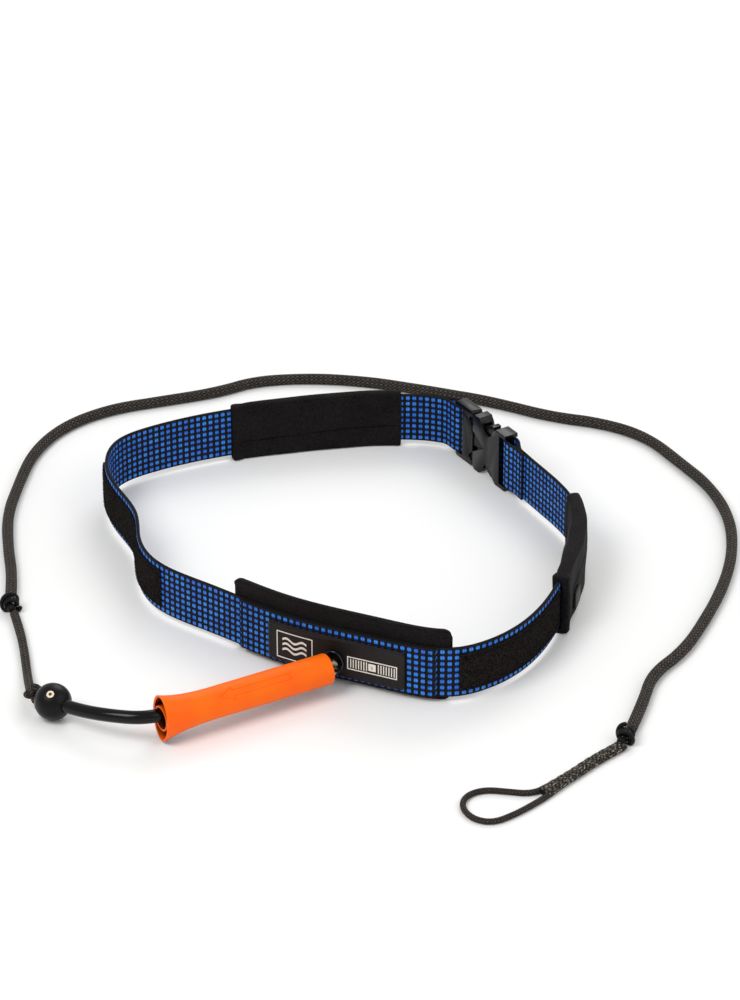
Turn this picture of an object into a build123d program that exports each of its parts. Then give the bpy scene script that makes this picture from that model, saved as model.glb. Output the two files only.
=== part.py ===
from build123d import *
from math import atan2, cos, degrees, pi, radians, sin, tan
import os

# Quick-release waist leash belt, standing on its lower edge. Millimetres, +Z up.
# The belt loop is seen from the front along +Y. A release line (hook, handle, hose, ball) leaves
# the middle of the front, and an elastic leash runs from the ball round behind the belt.

os.makedirs("parts", exist_ok=True)

# ---------------------------------------------------------------- driving dimensions
webbing_width = 38.0
webbing_thickness = 2.0
belt_lift = 4.0  # lower edge of the webbing above the table
layer_gap = 0.12  # between layers that are sewn together
station_step = 7.0  # spacing of the points that a curved layer is drawn through

front_layer_start = 520.0  # stations are lengths along the webbing from the male buckle half
front_layer_length = 144.0
front_layer_thickness = 2.0

pad_start = 511.0
pad_length = 164.0
pad_thickness = 5.0
pad_rise = 13.0  # above the webbing

patch_start = 544.0
patch_length = 100.0
patch_height = 29.0
patch_edge_gap = 3.0  # above the webbing's lower edge
patch_thickness = 1.8

eyelet_station = 593.6
eyelet_width = 15.2
eyelet_height = 17.6
eyelet_wall = 1.7
eyelet_proud = 2.2

loop_cord = 2.6
loop_bend = 2.0
loop_bight_along = -2.1
loop_bight_up = -0.6

velcro_height = 28.0
velcro_thickness = 1.6
velcro_left_start = 289.0
velcro_left_length = 160.0
velcro_right_start = 679.0
velcro_right_length = 110.0

sleeve_height = 44.5
sleeve_wall = 2.4
sleeve_clearance = 0.2
back_sleeve_start = 46.0
back_sleeve_length = 126.0
side_sleeve_start = 792.0
side_sleeve_length = 118.0
side_sleeve_wall = 4.2
tab_station = 815.0
tab_length = 15.0
tab_height = 13.0
tab_base = 6.0
tab_thickness = 2.0

fold_length = 17.0
male_fold_length = 28.0
fold_clear_of_bar = 4.5

buckle_length = 66.0
buckle_height = 45.0
buckle_thickness = 11.0
bar_size = 4.6
bar_margin = 1.0
male_frame_length = 22.0
female_start = 24.0
cavity_half_height = 18.3
cavity_half_depth = 3.7
cavity_end = 50.0
window_start = 35.0
window_end = 49.0
window_waist = 12.5  # half height of the female half between its two windows
arm_pivot_x = 20.0
arm_pivot_y = 15.2
arm_knuckle = 2.4
arm_clearance = 0.08
arm_half_depth = 3.2
arm_width = 3.6
arm_head_reach = 21.2
tongue_half_height = 5.0

axis_height = 18.0  # centre of the handle above the table
handle_length = 124.0
handle_diameter = 21.4
handle_bore = 15.0
handle_rim_round = 1.2
flare_length = 44.0
flare_height = 34.0
flare_width = 22.0
flare_wall = 1.4
inner_tube_diameter = 17.4
pocket_depth = 15.0

head_clearance = 0.08
head_start = 1.5
head_length = 22.5
head_slot_depth = 12.5
slot_clearance = 0.3
hook_width = 4.0
hook_gap = 1.6  # between the hook's two prongs
hook_thickness = 2.4
hook_front = -5.2
hook_pivot_along = 8.0
hook_pivot_up = 4.5
hook_lower_arm = -4.8
hook_tip_along = 4.5
hook_corner = 3.0
hook_barrel = 3.8
pin_diameter = 2.5
pin_clearance = 0.05
stem_length = 12.0

hose_diameter = 9.0
hose_bore = 5.5
line_diameter = 4.0
ball_diameter = 25.0
ball_beyond_handle = 48.7
ball_across = 60.6
ball_overlap = 3.0  # end of the hose short of the ball's centre
screw_diameter = 5.0
screw_length = 5.5
screw_socket = 2.6
knot_diameter = 13.0
knot_length = 12.0

leash_diameter = 8.0
pigtail_diameter = 6.2
tail_diameter = 4.0
join_diameter = 12.0
join_length = 11.0

# ---------------------------------------------------------------- plan of the belt loop
buckle_origin = Vector(105.0, 187.0)
buckle_heading = -57.3
buckle_along = Vector(cos(radians(buckle_heading)), sin(radians(buckle_heading)))
male_bar_x = bar_margin + bar_size / 2
female_bar_x = buckle_length - bar_margin - bar_size / 2
bar_wrap = bar_size / 2 + layer_gap + webbing_thickness / 2
webbing_start = buckle_origin + buckle_along * (male_bar_x - bar_wrap)
webbing_end = buckle_origin + buckle_along * (female_bar_x + bar_wrap)

belt_points = [
    webbing_start, Vector(88, 196.5), Vector(56, 200), Vector(-1, 193), Vector(-56, 179),
    Vector(-119, 151), Vector(-141, 132), Vector(-148, 106), Vector(-139, 66), Vector(-123.5, 28),
    Vector(-119.5, -6), Vector(-107, -36), Vector(-71, -66.5), Vector(-17, -105.5), Vector(48, -136),
    Vector(77, -147), Vector(95, -148.5), Vector(113, -141.5), Vector(138.5, -119), Vector(163, -73),
    Vector(175, -32), Vector(184, 16), Vector(182, 42), Vector(156, 100), webbing_end,
]
belt_line = Edge.make_spline(belt_points)
belt_length = belt_line.length

belt_top = belt_lift + webbing_width
face = webbing_thickness / 2


def beside_belt(station, offset):
    """Point in plan, offset outwards from the webbing's middle at a station along it."""
    where = belt_line.position_at(station / belt_length)
    along = belt_line.tangent_at(station / belt_length)
    return Vector(where.X + along.Y * offset, where.Y - along.X * offset)


def layer(start, length, inner, outer):
    """Plan of a layer that follows the webbing between two offsets from its middle."""
    spans = max(3, round(length / station_step))
    stations = [start + length * i / spans for i in range(spans + 1)]
    near = [beside_belt(station, inner) for station in stations]
    far = [beside_belt(station, outer) for station in stations]
    with BuildSketch() as plan:
        with BuildLine():
            Spline(*near)
            Line(near[-1], far[-1])
            Spline(*far)
            Line(far[0], near[0])
        make_face()
    return plan.sketch


def route_tube(points):
    """Path of straight runs and tangent arcs, each arc as large as its two runs allow."""
    radii = []
    for before, here, after in zip(points, points[1:], points[2:]):
        turn = radians((here - before).get_angle(after - here))
        shorter = min((here - before).length, (after - here).length)
        radii.append(0.45 * shorter / tan(turn / 2))
    print("smallest arc radius", round(min(radii), 1), "of", [round(r) for r in radii])
    return FilletPolyline(*points, radius=radii)


def on_table(route, diameter):
    return [Vector(x, y, diameter / 2) for x, y in route]


# ---------------------------------------------------------------- webbing
with BuildPart() as belt_webbing:
    with BuildSketch(Plane.XY.offset(belt_lift)):
        add(layer(0, belt_length, -face, face))
    extrude(amount=webbing_width)
    for bar_x in (male_bar_x, female_bar_x):
        centre = buckle_origin + buckle_along * bar_x
        across = bar_size + 2 * layer_gap
        with BuildSketch(Plane((centre.X, centre.Y, belt_lift), buckle_along, (0, 0, 1))):
            RectangleRounded(across + 2 * webbing_thickness, across + 2 * webbing_thickness, 2.0)
            Rectangle(across, across, mode=Mode.SUBTRACT)
        extrude(amount=webbing_width)

with BuildPart() as webbing_fold_female:
    fold_start = belt_length - fold_clear_of_bar - fold_length
    with BuildSketch(Plane.XY.offset(belt_lift)):
        add(layer(fold_start, fold_length, -face - layer_gap - webbing_thickness, -face - layer_gap))
    extrude(amount=webbing_width)

with BuildPart() as webbing_fold_male:
    with BuildSketch(Plane.XY.offset(belt_lift)):
        add(layer(fold_clear_of_bar, male_fold_length, face + layer_gap, face + layer_gap + webbing_thickness))
    extrude(amount=webbing_width)

front_layer_inner = face + layer_gap
front_layer_outer = front_layer_inner + front_layer_thickness
patch_inner = front_layer_outer + layer_gap
patch_outer = patch_inner + patch_thickness

eyelet_point = beside_belt(eyelet_station, patch_outer)
eyelet_outwards = (eyelet_point - beside_belt(eyelet_station, 0)).normalized()
eyelet_along = Vector(-eyelet_outwards.Y, eyelet_outwards.X)
eyelet_plane = Plane((eyelet_point.X, eyelet_point.Y, axis_height), eyelet_along, eyelet_outwards)

with BuildPart() as front_webbing_layer:
    with BuildSketch(Plane.XY.offset(belt_lift)):
        add(layer(front_layer_start, front_layer_length, front_layer_inner, front_layer_outer))
    extrude(amount=webbing_width)
    with BuildSketch(eyelet_plane.offset(1)):
        Ellipse(eyelet_width / 2 - eyelet_wall, eyelet_height / 2 - eyelet_wall)
    extrude(amount=-(patch_outer - front_layer_inner) - 2, mode=Mode.SUBTRACT)

with BuildPart() as front_pad:
    with BuildSketch():
        add(layer(pad_start, pad_length, -face - layer_gap - pad_thickness, -face - layer_gap))
    extrude(amount=belt_top + pad_rise)

with BuildPart() as front_patch:
    with BuildSketch(Plane.XY.offset(belt_lift + patch_edge_gap)):
        add(layer(patch_start, patch_length, patch_inner, patch_outer))
    extrude(amount=patch_height)
    with BuildSketch(eyelet_plane.offset(1)):
        Ellipse(eyelet_width / 2 - eyelet_wall, eyelet_height / 2 - eyelet_wall)
    extrude(amount=-(patch_outer - front_layer_inner) - 2, mode=Mode.SUBTRACT)

with BuildPart() as anchor_eyelet:
    with BuildSketch(eyelet_plane.offset(layer_gap)):
        Ellipse(eyelet_width / 2, eyelet_height / 2)
        Ellipse(eyelet_width / 2 - eyelet_wall, eyelet_height / 2 - eyelet_wall, mode=Mode.SUBTRACT)
    extrude(amount=eyelet_proud)
    fillet(anchor_eyelet.edges().group_by(Axis(eyelet_plane.origin, eyelet_outwards))[-1], 0.8)

velcro_base = belt_lift + (webbing_width - velcro_height) / 2
with BuildPart() as velcro_left:
    with BuildSketch(Plane.XY.offset(velcro_base)):
        add(layer(velcro_left_start, velcro_left_length, face + layer_gap, face + layer_gap + velcro_thickness))
    extrude(amount=velcro_height)

with BuildPart() as velcro_right:
    with BuildSketch(Plane.XY.offset(velcro_base)):
        add(layer(velcro_right_start, velcro_right_length, face + layer_gap, face + layer_gap + velcro_thickness))
    extrude(amount=velcro_height)

sleeve_inside = face + sleeve_clearance
with BuildPart() as back_sleeve:
    with BuildSketch():
        add(layer(back_sleeve_start, back_sleeve_length, -sleeve_inside - sleeve_wall, sleeve_inside + sleeve_wall))
    extrude(amount=sleeve_height)
    with BuildSketch(Plane.XY.offset(belt_lift - sleeve_clearance)):
        add(layer(back_sleeve_start - 1, back_sleeve_length + 2, -sleeve_inside, sleeve_inside))
    extrude(amount=webbing_width + 2 * sleeve_clearance, mode=Mode.SUBTRACT)

with BuildPart() as side_sleeve:
    with BuildSketch():
        add(layer(side_sleeve_start, side_sleeve_length, -sleeve_inside - sleeve_wall,
                  sleeve_inside + side_sleeve_wall))
    extrude(amount=sleeve_height)
    with BuildSketch(Plane.XY.offset(belt_lift - sleeve_clearance)):
        add(layer(side_sleeve_start - 1, side_sleeve_length + 2, -sleeve_inside, sleeve_inside))
    extrude(amount=webbing_width + 2 * sleeve_clearance, mode=Mode.SUBTRACT)

tab_inner = sleeve_inside + side_sleeve_wall + layer_gap
with BuildPart() as side_sleeve_tab:
    with BuildSketch(Plane.XY.offset(tab_base)):
        add(layer(tab_station, tab_length, tab_inner, tab_inner + tab_thickness))
    extrude(amount=tab_height)

# ---------------------------------------------------------------- side-release buckle
# Its plane has x along the buckle from the male end, y up and z towards the inside of the loop.
buckle_middle = belt_lift + webbing_width / 2
buckle_plane = Plane((buckle_origin.X, buckle_origin.Y, buckle_middle), buckle_along,
                     buckle_along.cross(Vector(0, 0, 1)))
half_height = buckle_height / 2
slot_half = webbing_width / 2 + 0.4
slot_width = webbing_thickness + 1.0


def arm_outline(side):
    """Side latch arm: a round knuckle, a slim beam and a head that catches behind the shoulder."""
    outer = arm_pivot_y + arm_width / 2 - 0.6
    inner = outer - arm_width
    with BuildSketch() as outline:
        with Locations((arm_pivot_x, arm_pivot_y)):
            Circle(arm_knuckle)
        with BuildLine():
            Polyline(
                (arm_pivot_x, inner), (window_end - 1.7, inner), (window_end - 1.4, arm_head_reach),
                (window_end - 5, arm_head_reach), (window_start + 1.5, outer), (arm_pivot_x, outer), close=True)
        make_face()
    return outline.sketch if side > 0 else mirror(outline.sketch, about=Plane.XZ)


with BuildPart() as buckle_male:
    with BuildSketch(buckle_plane.offset(-buckle_thickness / 2 + 1.2)):
        with Locations((male_frame_length / 2, 0)):
            RectangleRounded(male_frame_length, buckle_height, 2.5)
        with Locations((bar_margin + bar_size + slot_width / 2, 0)):
            Rectangle(slot_width, 2 * slot_half, mode=Mode.SUBTRACT)
        with Locations((bar_margin / 2, 0)):
            Rectangle(bar_margin, 2 * slot_half, mode=Mode.SUBTRACT)
    extrude(amount=buckle_thickness - 2.4)
    with BuildSketch(buckle_plane.offset(-buckle_thickness / 2)):
        with Locations((male_bar_x, 0)):
            Rectangle(bar_size + 2 * bar_margin, 2 * slot_half)
    extrude(amount=buckle_thickness / 2 - bar_size / 2, mode=Mode.SUBTRACT)
    with BuildSketch(buckle_plane.offset(bar_size / 2)):
        with Locations((male_bar_x, 0)):
            Rectangle(bar_size + 2 * bar_margin, 2 * slot_half)
    extrude(amount=buckle_thickness / 2 - bar_size / 2, mode=Mode.SUBTRACT)
    with BuildSketch(buckle_plane.offset(-arm_half_depth)):
        with BuildLine():
            Polyline((male_frame_length - 1, -tongue_half_height), (cavity_end - 4, -tongue_half_height + 1.5),
                     (cavity_end - 2, 0), (cavity_end - 4, tongue_half_height - 1.5),
                     (male_frame_length - 1, tongue_half_height), close=True)
        make_face()
    extrude(amount=2 * arm_half_depth)
    with BuildSketch(buckle_plane.offset(-buckle_thickness / 2)):
        with Locations((arm_pivot_x, arm_pivot_y), (arm_pivot_x, -arm_pivot_y)):
            Circle(arm_knuckle + arm_clearance)
        with Locations((arm_pivot_x + 2.6, arm_pivot_y - 0.6), (arm_pivot_x + 2.6, -arm_pivot_y + 0.6)):
            Rectangle(5.2, arm_width + 3.2)
    extrude(amount=buckle_thickness, mode=Mode.SUBTRACT)

with BuildPart() as latch_arm_upper:
    with BuildSketch(buckle_plane.offset(-arm_half_depth)):
        add(arm_outline(1))
    extrude(amount=2 * arm_half_depth)

with BuildPart() as latch_arm_lower:
    with BuildSketch(buckle_plane.offset(-arm_half_depth)):
        add(arm_outline(-1))
    extrude(amount=2 * arm_half_depth)

with BuildPart() as buckle_female:
    with BuildSketch(buckle_plane.offset(-buckle_thickness / 2)):
        with BuildLine():
            Polyline((female_start, 0), (female_start, half_height - 2), (female_start + 2, half_height),
                     (window_start - 3, half_height), (window_start, half_height - 4))
            ThreePointArc((window_start, half_height - 4), ((window_start + window_end) / 2, window_waist),
                          (window_end, half_height - 3.5))
            Polyline((window_end, half_height - 3.5), (window_end + 4, half_height),
                     (buckle_length - bar_margin, half_height), (buckle_length - bar_margin, 0), (female_start, 0))
        make_face()
        mirror(about=Plane.XZ)
        with Locations((female_bar_x - bar_size / 2 - slot_width / 2, 0)):
            Rectangle(slot_width, 2 * slot_half, mode=Mode.SUBTRACT)
    extrude(amount=buckle_thickness)
    with BuildSketch(buckle_plane.offset(-cavity_half_depth)):
        with Locations(((female_start + cavity_end) / 2 - 0.5, 0)):
            Rectangle(cavity_end - female_start + 1, 2 * cavity_half_height)
    extrude(amount=2 * cavity_half_depth, mode=Mode.SUBTRACT)
    with BuildSketch(buckle_plane.offset(-buckle_thickness / 2)):
        with Locations((female_bar_x + 1, 0)):
            Rectangle(bar_size + 2, 2 * slot_half)
    extrude(amount=buckle_thickness / 2 - bar_size / 2, mode=Mode.SUBTRACT)
    with BuildSketch(buckle_plane.offset(bar_size / 2)):
        with Locations((female_bar_x + 1, 0)):
            Rectangle(bar_size + 2, 2 * slot_half)
    extrude(amount=buckle_thickness / 2 - bar_size / 2, mode=Mode.SUBTRACT)
    with BuildSketch(buckle_plane.offset(cavity_half_depth)):
        with BuildLine():
            Polyline((female_start - 0.5, -9), (female_start - 0.5, 9), (female_start + 14, 0), close=True)
        make_face()
    extrude(amount=buckle_thickness / 2 - cavity_half_depth, mode=Mode.SUBTRACT)

# ---------------------------------------------------------------- release line
# along: from the handle's mouth to the ball; across: level, towards the belt's left side; up: +Z.
handle_mouth = Vector(11.0, -136.5, axis_height)
handle_heading = 209.4
line_along = Vector(cos(radians(handle_heading)), sin(radians(handle_heading)), 0)
line_across = Vector(line_along.Y, -line_along.X, 0)


def line_point(along, across, up):
    return handle_mouth + line_along * along + line_across * across + Vector(0, 0, up)


def line_plane(along):
    """Plane square to the handle's axis, with x up and y across."""
    return Plane(line_point(along, 0, 0), (0, 0, 1), line_along)


bore_radius = handle_bore / 2
tube_radius = handle_diameter / 2
with BuildPart() as release_handle:
    with BuildSketch(line_plane(0)):
        Circle(tube_radius)
    extrude(amount=handle_length - flare_length)
    fillet(release_handle.edges().group_by(Axis(handle_mouth, line_along))[0], handle_rim_round)
    with BuildSketch(line_plane(handle_length - flare_length)):
        Circle(tube_radius)
    with BuildSketch(line_plane(handle_length - flare_length * 0.6)):
        Ellipse(tube_radius + 0.5, tube_radius)
    with BuildSketch(line_plane(handle_length - flare_length * 0.25)):
        Ellipse(tube_radius + 2.9, tube_radius + 0.05)
    with BuildSketch(line_plane(handle_length)):
        Ellipse(flare_height / 2, flare_width / 2)
    loft()
    with BuildSketch(line_plane(handle_length - pocket_depth)):
        Ellipse(tube_radius + 1.0, inner_tube_diameter / 2 - 0.1)
    with BuildSketch(line_plane(handle_length)):
        Ellipse(flare_height / 2 - flare_wall, inner_tube_diameter / 2 + 0.2)
    loft(mode=Mode.SUBTRACT)
    with BuildSketch(line_plane(handle_length - pocket_depth - 1)):
        Circle(inner_tube_diameter / 2)
    extrude(amount=pocket_depth + 1)
    with BuildSketch(line_plane(-1)):
        Circle(bore_radius)
    extrude(amount=handle_length + 2, mode=Mode.SUBTRACT)

head_radius = bore_radius - head_clearance
hook_plane = Plane(handle_mouth, line_along, line_across)
with BuildPart() as release_head:
    with BuildSketch(line_plane(head_start)):
        Circle(head_radius)
    extrude(amount=head_length)
    with BuildSketch(line_plane(head_start + head_length)):
        Circle(hose_bore / 2 - 0.05)
    extrude(amount=stem_length)
    with BuildSketch(line_plane(head_start - 1)):
        Rectangle(2 * head_radius + 2, hook_width + 2 * slot_clearance)
    extrude(amount=head_slot_depth + 1, mode=Mode.SUBTRACT)
    with BuildSketch(hook_plane):
        with Locations((hook_pivot_along, hook_pivot_up)):
            Circle(pin_diameter / 2)
    extrude(amount=head_radius + 1, both=True, mode=Mode.SUBTRACT)

pin_half = (head_radius**2 - (hook_pivot_up + pin_diameter / 2) ** 2) ** 0.5 - 0.1
with BuildPart() as hook_pin:
    with BuildSketch(hook_plane.offset(-pin_half)):
        with Locations((hook_pivot_along, hook_pivot_up)):
            Circle(pin_diameter / 2)
    extrude(amount=2 * pin_half)

with BuildPart() as release_hook:
    with BuildSketch(hook_plane.offset(-hook_width / 2)):
        with BuildLine():
            FilletPolyline(
                (hook_pivot_along, hook_pivot_up), (hook_front, hook_pivot_up),
                (hook_front, hook_lower_arm), (hook_tip_along, hook_lower_arm), radius=hook_corner)
        trace(line_width=hook_thickness)
        with Locations((hook_pivot_along, hook_pivot_up)):
            Circle(hook_barrel / 2)
    extrude(amount=hook_width)
    with BuildSketch(hook_plane.offset(-hook_gap / 2)):
        with Locations(((hook_front - 3 + hook_tip_along - 2) / 2, 0)):
            Rectangle(hook_tip_along - 2 - hook_front + 3, 16)
    extrude(amount=hook_gap, mode=Mode.SUBTRACT)
    with BuildSketch(hook_plane.offset(-hook_width / 2 - 1)):
        with Locations((hook_pivot_along, hook_pivot_up)):
            Circle(pin_diameter / 2 + pin_clearance)
    extrude(amount=hook_width + 2, mode=Mode.SUBTRACT)

# The loop leaves the eyelet, its bight lies across the hook's throat, and it comes back round the
# hook's front.
bight_centre = line_point(loop_bight_along, 0, loop_bight_up)
loop_root_depth = (eyelet_point - bight_centre).dot(-eyelet_outwards) + patch_outer - front_layer_inner - 0.2


def loop_point(depth, sideways):
    """Point at the loop's level, from the bight towards the webbing and along it."""
    return bight_centre - eyelet_outwards * depth + eyelet_along * sideways


loop_route = [
    loop_point(loop_root_depth, -3.7), loop_point(2.7, -3.7), loop_point(-3.8, 5.3),
    loop_point(2.8, 6.9), loop_point(6.2, 1.3), loop_point(loop_root_depth, 1.3),
]
with BuildPart() as anchor_loop:
    with BuildLine() as loop_path:
        FilletPolyline(*loop_route, radius=[loop_bend, loop_bend, loop_bend, loop_bend])
    with BuildSketch(Plane(loop_path.line @ 0, z_dir=loop_path.line % 0)):
        Circle(loop_cord / 2)
    sweep()

ball_centre = line_point(
    handle_length + ball_beyond_handle, ball_across, ball_diameter / 2 - axis_height)
hose_start = head_start + head_length
hose_bends = [
    line_point(hose_start, 0, 0), line_point(handle_length / 2, 0, 0), line_point(handle_length - 6, 0.5, 1.6),
    line_point(handle_length + 13, 3.2, 2.4), line_point(handle_length + 30, 20.5, 0.6),
    line_point(handle_length + 41.5, 41.5, -3.2),
]
ball_axis = (ball_centre - hose_bends[-1]).normalized()
hose_route = hose_bends + [ball_centre - ball_axis * ball_overlap]
line_route = [line_point(hose_start + stem_length, 0, 0)] + hose_bends[1:] + [
    ball_centre + ball_axis * (ball_diameter / 2 + 0.2)]

with BuildPart() as hose:
    with BuildLine() as hose_path:
        route_tube(hose_route)
    with BuildSketch(line_plane(hose_start)):
        Circle(hose_diameter / 2)
        Circle(hose_bore / 2, mode=Mode.SUBTRACT)
    sweep()

with BuildPart() as inner_line:
    with BuildLine() as line_path:
        route_tube(line_route)
    with BuildSketch(line_plane(hose_start + stem_length)):
        Circle(line_diameter / 2)
    sweep()

screw_direction = Vector(-0.08, -0.556, 0.83).normalized()
screw_seat = ball_centre + screw_direction * (ball_diameter / 2 - 0.4)
with BuildPart() as ball_stopper:
    level = ball_axis.cross(Vector(0, 0, 1))
    with BuildSketch(Plane(ball_centre, level, level.cross(ball_axis))):
        with BuildLine():
            CenterArc((0, 0), ball_diameter / 2, -90, 180)
            Line((0, -ball_diameter / 2), (0, ball_diameter / 2))
        make_face()
    revolve(axis=Axis(ball_centre, ball_axis))
    with BuildSketch(Plane(ball_centre - ball_axis * ball_diameter, z_dir=ball_axis)):
        Circle(hose_diameter / 2 + 0.05)
    extrude(amount=ball_diameter - ball_overlap, mode=Mode.SUBTRACT)
    with BuildSketch(Plane(ball_centre - ball_axis * ball_diameter, z_dir=ball_axis)):
        Circle(line_diameter / 2 + 0.15)
    extrude(amount=2 * ball_diameter, mode=Mode.SUBTRACT)
    with BuildSketch(Plane(screw_seat - screw_direction * screw_length, z_dir=screw_direction)):
        Circle(screw_diameter / 2)
    extrude(amount=screw_length + 3, mode=Mode.SUBTRACT)

with BuildPart() as ball_set_screw:
    with BuildSketch(Plane(screw_seat - screw_direction * screw_length, z_dir=screw_direction)):
        Circle(screw_diameter / 2)
    extrude(amount=screw_length)
    with BuildSketch(Plane(screw_seat, z_dir=screw_direction)):
        RegularPolygon(screw_socket / 2, 6)
    extrude(amount=-screw_socket, mode=Mode.SUBTRACT)

pigtail_route = [
    Vector(ball_centre.X - 15.3, ball_centre.Y + 12.5, 10.6), Vector(ball_centre.X - 18.3, ball_centre.Y + 31.5, 5.8),
    Vector(-190.5, -116.0, 3.1),
    Vector(-194.0, -91.0, 3.1), Vector(-198.5, -66.0, 3.1), Vector(-204.5, -42.0, 3.1),
]
pigtail_plane = Plane(pigtail_route[0], z_dir=pigtail_route[1] - pigtail_route[0])
with BuildPart() as stopper_knot:
    with BuildSketch(Plane(ball_centre + ball_axis * (ball_diameter / 2 + 0.2), z_dir=ball_axis)):
        Circle(knot_diameter / 2)
    extrude(amount=knot_length)
    fillet(stopper_knot.edges(), 3.5)
    with BuildSketch(pigtail_plane):
        Circle(pigtail_diameter / 2 + 0.03)
    extrude(amount=knot_length, mode=Mode.SUBTRACT)

# ---------------------------------------------------------------- cords
leash_route = on_table([
    (-208, -27), (-209, 4), (-215, 44), (-219, 90), (-214, 135), (-207, 180), (-188, 219), (-155, 246),
    (-112, 260), (-74, 273), (-48, 290), (-6, 295), (40, 289), (88, 273), (132, 257), (172, 235),
    (213, 224), (243, 203), (264, 166), (284, 130), (295, 84), (293, 36), (283, -9), (267, -54),
    (250, -93), (227, -122), (219, -158), (209, -190),
], leash_diameter)
tail_route = on_table([
    (201.5, -204), (185, -219), (170.5, -235.5), (157.5, -249), (149, -256.5), (140, -260.5), (128, -258.5),
    (112, -256), (100, -263), (97, -276), (104, -289.5), (117, -293.5), (131, -284), (143, -273),
    (153.5, -262), (160.5, -252.5), (173.5, -238.5), (188, -222), (204.5, -207),
], tail_diameter)

with BuildPart() as pigtail_cord:
    with BuildLine() as pigtail_path:
        route_tube(pigtail_route)
    with BuildSketch(pigtail_plane):
        Circle(pigtail_diameter / 2)
    sweep()

with BuildPart() as leash_cord:
    with BuildLine() as leash_path:
        route_tube(leash_route)
    with BuildSketch(Plane(leash_route[0], z_dir=leash_route[1] - leash_route[0])):
        Circle(leash_diameter / 2)
    sweep()

with BuildPart() as tail_cord:
    with BuildLine() as tail_path:
        route_tube(tail_route)
    with BuildSketch(Plane(tail_route[0], z_dir=tail_route[1] - tail_route[0])):
        Circle(tail_diameter / 2)
    sweep()


def join_plane(x, y, heading):
    """Plane square to a cord where it ends in a join, at the start of the join's barrel."""
    along = Vector(cos(radians(heading)), sin(radians(heading)), 0)
    return Plane(Vector(x, y, join_diameter / 2) - along * join_length / 2, z_dir=along)


with BuildPart() as leash_knot_left:
    with BuildSketch(join_plane(-207.0, -34.0, 97)):
        Circle(join_diameter / 2)
    extrude(amount=join_length)
    fillet(leash_knot_left.edges(), 3.5)

with BuildPart() as leash_knot_right:
    with BuildSketch(join_plane(205.5, -198.5, 240)):
        Circle(join_diameter / 2)
    extrude(amount=join_length)
    fillet(leash_knot_right.edges(), 3.5)

for name, path, cord, diameter in (
    ("pigtail", pigtail_path, pigtail_cord, pigtail_diameter),
    ("leash", leash_path, leash_cord, leash_diameter),
    ("tail", tail_path, tail_cord, tail_diameter),
):
    length = path.wire().length
    expected = pi * diameter**2 / 4 * length
    print(name, "length", round(length, 1), "volume ratio", round(cord.part.volume / expected, 4))

# ---------------------------------------------------------------- output
pieces = {
    "belt_webbing": belt_webbing, "webbing_fold_female": webbing_fold_female,
    "webbing_fold_male": webbing_fold_male, "front_webbing_layer": front_webbing_layer,
    "front_pad": front_pad, "front_patch": front_patch, "anchor_eyelet": anchor_eyelet,
    "anchor_loop": anchor_loop, "velcro_left": velcro_left, "velcro_right": velcro_right,
    "back_sleeve": back_sleeve, "side_sleeve": side_sleeve, "side_sleeve_tab": side_sleeve_tab,
    "buckle_male": buckle_male, "buckle_female": buckle_female, "latch_arm_upper": latch_arm_upper,
    "latch_arm_lower": latch_arm_lower, "release_handle": release_handle, "release_head": release_head,
    "release_hook": release_hook, "hook_pin": hook_pin, "hose": hose, "inner_line": inner_line,
    "ball_stopper": ball_stopper, "ball_set_screw": ball_set_screw, "stopper_knot": stopper_knot,
    "pigtail_cord": pigtail_cord, "leash_cord": leash_cord, "tail_cord": tail_cord,
    "leash_knot_left": leash_knot_left, "leash_knot_right": leash_knot_right,
}
for name, piece in pieces.items():
    piece.part.label = name
    export_step(piece.part, f"parts/{name}.step")
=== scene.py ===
"""Quick-release waist leash belt: woven strap, foam pad and sleeves, release handle, elastic leash.

Lengths are written in millimetres and scaled once, when a mesh is made. Stations are lengths along the
strap from the male buckle half, and offsets stand outwards from the strap's middle.
"""
import math
import bmesh
import bpy
import numpy as np
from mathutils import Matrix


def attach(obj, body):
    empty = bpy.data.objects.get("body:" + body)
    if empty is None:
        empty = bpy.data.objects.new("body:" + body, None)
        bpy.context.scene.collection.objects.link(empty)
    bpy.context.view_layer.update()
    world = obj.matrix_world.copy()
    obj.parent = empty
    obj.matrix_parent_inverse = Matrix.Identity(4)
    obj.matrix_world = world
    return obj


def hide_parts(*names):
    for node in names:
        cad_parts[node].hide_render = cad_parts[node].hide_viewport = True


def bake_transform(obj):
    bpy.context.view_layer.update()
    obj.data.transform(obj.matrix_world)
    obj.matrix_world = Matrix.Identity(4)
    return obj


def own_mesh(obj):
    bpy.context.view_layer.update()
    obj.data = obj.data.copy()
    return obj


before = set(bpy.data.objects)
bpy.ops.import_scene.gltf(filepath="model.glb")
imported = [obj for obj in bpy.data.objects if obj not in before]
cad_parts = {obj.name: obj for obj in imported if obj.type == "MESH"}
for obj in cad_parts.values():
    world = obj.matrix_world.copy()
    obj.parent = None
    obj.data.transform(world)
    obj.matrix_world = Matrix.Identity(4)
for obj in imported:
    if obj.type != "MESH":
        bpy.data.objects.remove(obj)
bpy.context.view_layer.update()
MM = 0.001
scene = bpy.context.scene
chance = np.random.default_rng(11)

# ---------------------------------------------------------------- camera
aim = np.array([0.039, 0.118, 0.0])
lift = math.radians(30)
eye = aim + 3.0 * np.array([0, -math.cos(lift), math.sin(lift)])
lens = bpy.data.cameras.new("camera")
lens.sensor_width = 36
lens.lens = 150.5
lens.clip_end = 20
camera = bpy.data.objects.new("camera", lens)
camera.location = eye
camera.rotation_euler = (math.pi / 2 - lift, 0, 0)
scene.collection.objects.link(camera)
scene.camera = camera


# ---------------------------------------------------------------- mesh kit
def unit(v):
    return v / np.linalg.norm(v, axis=-1, keepdims=True)


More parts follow.
